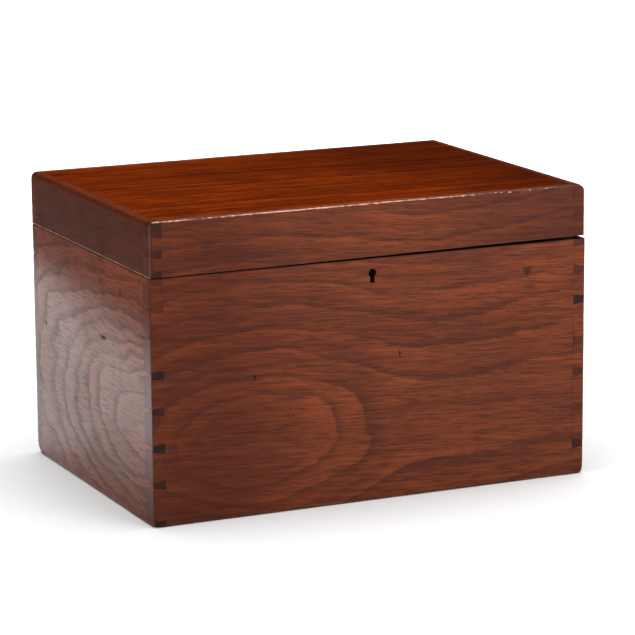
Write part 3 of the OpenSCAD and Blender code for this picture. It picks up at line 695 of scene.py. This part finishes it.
def cut_into_lengths(mesh, faces, axis, low, high):
    """Halves faces across an axis, again and again, until the lengths are short enough to wear."""
    if high - low < 2 * LENGTH or not faces:
        return
    middle = (low + high) / 2
    now = cut(mesh, faces, axis, middle)
    lower = [face for face in now if face.calc_center_bounds()[axis] < middle * MM]
    upper = [face for face in now if face.calc_center_bounds()[axis] >= middle * MM]
    cut_into_lengths(mesh, lower, axis, low, middle)
    cut_into_lengths(mesh, upper, axis, middle, high)


def cut_at_worn_edges(mesh):
    """Gives the mesh enough vertices beside the worn edges: strips along them, cut into short lengths."""
    for axis, places in ((X, (LEFT, RIGHT, LID_RIGHT)), (Y, (FRONT, BACK)), (Z, (0, TOP))):
        for place in places:
            for strip in STRIPS:
                cut(mesh, mesh.faces[:], axis, place + strip * (1 if place <= 0 else -1))
    for edge in WORN_EDGES:
        run, side_a, side_b, start, end = edge[:5]
        faces = []
        for face in mesh.faces:
            centre = face.calc_center_bounds() / MM
            if all(abs(centre[axis] - place) < WEAR_REACH for axis, place, _ in (side_a, side_b)):
                faces.append(face)
        cut_into_lengths(mesh, faces, run, start, end)


def sort_faces(mesh):
    """Puts the faces in the order of their corners, because cutting leaves a different order in each run."""
    mesh.verts.index_update()
    by_corners = sorted(mesh.faces, key=lambda face: [vert.index for vert in face.verts])
    places = {face: place for place, face in enumerate(by_corners)}
    mesh.faces.sort(key=lambda face: places[face])


def worn_board(node, body, grain, wood):
    """A board of the old box: the CAD board with fine grooves at its joints and worn edges."""
    mesh = bmesh.new()
    mesh.from_mesh(nodes[node].data)
    bmesh.ops.remove_doubles(mesh, verts=mesh.verts, dist=1e-6)
    bmesh.ops.dissolve_limit(mesh, angle_limit=math.radians(0.5), verts=mesh.verts, edges=mesh.edges)
    joints = [edge for edge in mesh.edges if is_joint_edge(edge)]
    bmesh.ops.bevel(mesh, geom=joints, offset=GROOVE * MM, offset_type="OFFSET", segments=1, profile=0.5,
                    affect="EDGES", clamp_overlap=False, material=GROOVE_SLOT)

    cut_at_worn_edges(mesh)
    for vert in mesh.verts:
        vert.co = worn_point(vert.co / MM) * MM
    sort_faces(mesh)

    data = bpy.data.meshes.new(node + "_old")
    for face in mesh.faces:
        face.smooth = True
        if face.material_index == 0 and abs(face.normal[grain]) > 0.7:
            face.material_index = END_SLOT
    mesh.to_mesh(data)
    mesh.free()
    data.set_sharp_from_angle(angle=math.radians(32))
    for material in (wood, grime, ENDS[grain]):
        data.materials.append(material)
    piece = bpy.data.objects.new(node + "_old", data)
    bpy.context.scene.collection.objects.link(piece)
    normals = piece.modifiers.new("normals", "WEIGHTED_NORMAL")
    normals.keep_sharp = True
    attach(piece, body)
    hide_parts(node)


grime = joint_grime()
ENDS = {
    X: end_grain("tail_ends", TAIL_ENDS, side_polish, 0.030, 0.30),
    Y: end_grain("pin_ends", PIN_ENDS, front_polish, 0.08, 0.40),
}
WOODS = {
    "front": mahogany("mahogany_front", X, 0.06, loop_figure, FRONT_LINES, FRONT_COLOURS, front_polish,
                      shine=0.08, rough=0.26, strength=0.54, relief=0.05),
    "side": mahogany("mahogany_side", Y, 0.0, tongue_figure, SIDE_LINES, SIDE_COLOURS, side_polish,
                     shine=0.026, rough=0.30, strength=0.64, relief=0.01),
    "top": mahogany("mahogany_top", X, 0.0, straight_figure, TOP_LINES, TOP_COLOURS, front_polish,
                    shine=0.13, rough=0.07, strength=0.6, relief=0.015),
}
BOARDS = {
    "front_board": ("case", X, "front"),
    "back_board": ("case", X, "front"),
    "left_board": ("case", Y, "side"),
    "right_board": ("case", Y, "side"),
    "lid_front": ("lid", X, "front"),
    "lid_back": ("lid", X, "front"),
    "lid_left": ("lid", Y, "side"),
    "lid_right": ("lid", Y, "side"),
    "lid_panel": ("lid", X, "top"),
}
for node, (body, grain, wood) in BOARDS.items():
    worn_board(node, body, grain, WOODS[wood])


# ---- Parts that keep their CAD shape ----

pale_wood_x = plain_wood("inner_wood_x", X, (0.36, 0.20, 0.10), (0.20, 0.09, 0.040), 0.55)
pale_wood_y = plain_wood("inner_wood_y", Y, (0.36, 0.20, 0.10), (0.20, 0.09, 0.040), 0.55)
lid_wood_y = plain_wood("lid_wood", Y, (0.17, 0.050, 0.017), (0.085, 0.022, 0.009), 0.34)
FINISHES = {
    pale_wood_x: ("bottom_board",),
    pale_wood_y: ("partition_left", "partition_right", "ledges_left", "ledges_right", "well_cleats"),
    lid_wood_y: ("bowl_board", "inner_lid_left", "inner_lid_right"),
    lead_foil(): ("tea_lining_left", "tea_lining_right"),
    green_baize(): ("well_baize",),
    lining_paper(): ("lid_lining",),
    old_metal("brass", (0.72, 0.50, 0.20), (0.40, 0.25, 0.085), (0.12, 0.075, 0.03), 0.24): (
        "knob_left", "knob_right", "hinge_body_leaf_left", "hinge_body_leaf_right",
        "hinge_lid_leaf_left", "hinge_lid_leaf_right", "hinge_pin_left", "hinge_pin_right",
        "hinge_screws_body", "hinge_screws_lid", "lock_case", "lock_cap", "link_plate",
        "link_screws", "lock_screws"),
    old_metal("steel", (0.36, 0.35, 0.34), (0.16, 0.145, 0.135), (0.09, 0.045, 0.025), 0.32): (
        "lock_bolt", "lock_spring", "lock_drill_pin", "bottom_pins"),
}
SOFT_EDGES = {pale_wood_x: 0.4, pale_wood_y: 0.4, lid_wood_y: 0.3}


def soften(piece, width):
    """Breaks the sharp edges of a CAD part by a fraction of a millimetre."""
    bevel = piece.modifiers.new("soft_edges", "BEVEL")
    bevel.width = width * MM
    bevel.segments = 2
    bevel.limit_method = "ANGLE"
    bevel.angle_limit = math.radians(40)
    normals = piece.modifiers.new("normals", "WEIGHTED_NORMAL")
    normals.keep_sharp = True


for material, names in FINISHES.items():
    for name in names:
        nodes[name].data.materials.clear()
        nodes[name].data.materials.append(material)
        if material in SOFT_EDGES:
            soften(nodes[name], SOFT_EDGES[material])


# ---- Floor, light and camera ----


def plane(name, low_x, low_y, high_x, high_y, height, material):
    """A flat sheet of the studio, in metres."""
    data = bpy.data.meshes.new(name)
    outline = ((low_x, low_y), (high_x, low_y), (high_x, high_y), (low_x, high_y))
    data.from_pydata([(x, y, height) for x, y in outline], [], [(0, 1, 2, 3)])
    data.materials.append(material)
    made = bpy.data.objects.new(name, data)
    bpy.context.scene.collection.objects.link(made)
    return made


def pale_floor():
    """White studio floor that is lit evenly into the distance."""
    shade = Shade("pale_floor")
    x, y, z = shade.place()
    mottle = shade.noise(x * 0.02, y * 0.02, z, 3.0)
    distance = near_line(x, y)
    glow = distance.rise(250, 700) * 0.25 + distance.rise(600, 1500) * 0.85
    shade.set(base_color=shade.mix(mottle, (0.64, 0.64, 0.645), (0.67, 0.67, 0.67)), roughness=0.7,
              specular_ior_level=0.2, emission_color=(1.0, 1.0, 1.0), emission_strength=glow)
    return shade.material


def dark_card():
    """Black card that keeps the far floor out of the side's reflection."""
    shade = Shade("dark_card")
    x, y, z = shade.place()
    shade.set(base_color=(0.01, 0.01, 0.01), roughness=0.8 + shade.noise(x * 0.01, y * 0.01, z) * 0.2)
    return shade.material


def softbox(name, place, aim, width, height, power):
    """A rectangular white lamp at place that faces aim, in metres and watts."""
    data = bpy.data.lights.new(name, "AREA")
    data.shape = "RECTANGLE"
    data.size = width
    data.size_y = height
    data.energy = power
    lamp = bpy.data.objects.new(name, data)
    lamp.location = place
    lamp.rotation_euler = (Vector(aim) - Vector(place)).to_track_quat("-Z", "Y").to_euler()
    lamp.visible_camera = False
    bpy.context.scene.collection.objects.link(lamp)


def camera():
    """Long lens from the front left, a little above the box."""
    place = Vector((-0.8239, -1.8190, 0.5265))
    turn = math.radians(-24.613)
    rise = math.radians(12.1245)
    roll = math.radians(-0.426)
    back = Vector((math.sin(turn) * math.cos(rise), -math.cos(turn) * math.cos(rise), math.sin(rise)))
    level = Vector((math.cos(turn), math.sin(turn), 0))
    upright = back.cross(level)
    right = math.cos(roll) * level + math.sin(roll) * upright
    up = math.cos(roll) * upright - math.sin(roll) * level
    data = bpy.data.cameras.new("camera")
    data.lens = 176.80
    data.sensor_width = 36
    made = bpy.data.objects.new("camera", data)
    made.matrix_world = Matrix.Translation(place) @ Matrix((right, up, back)).transposed().to_4x4()
    bpy.context.scene.collection.objects.link(made)
    bpy.context.scene.camera = made


plane("floor", -8, -8, 8, 8, 0, pale_floor())
card = plane("side_card", -3.0, 0.05, -0.37, 3.0, 0.002, dark_card())
card.visible_camera = False
card.visible_shadow = False
card.visible_diffuse = False

softbox("overhead", (0.10, 0.10, 1.6), (0, 0, 0.1), 2.4, 2.4, 78)
softbox("front_fill", (0.9, -1.8, 0.8), (0, 0, 0.1), 1.2, 1.0, 20)
softbox("left_fill", (-1.9, -0.5, 0.9), (0, 0, 0.1), 1.2, 1.0, 14)
world = bpy.data.worlds.new("studio")
world.use_nodes = True
world.node_tree.nodes["Background"].inputs["Color"].default_value = (0.004, 0.004, 0.004, 1)
bpy.context.scene.world = world
bpy.context.scene.view_settings.view_transform = "Standard"
camera()
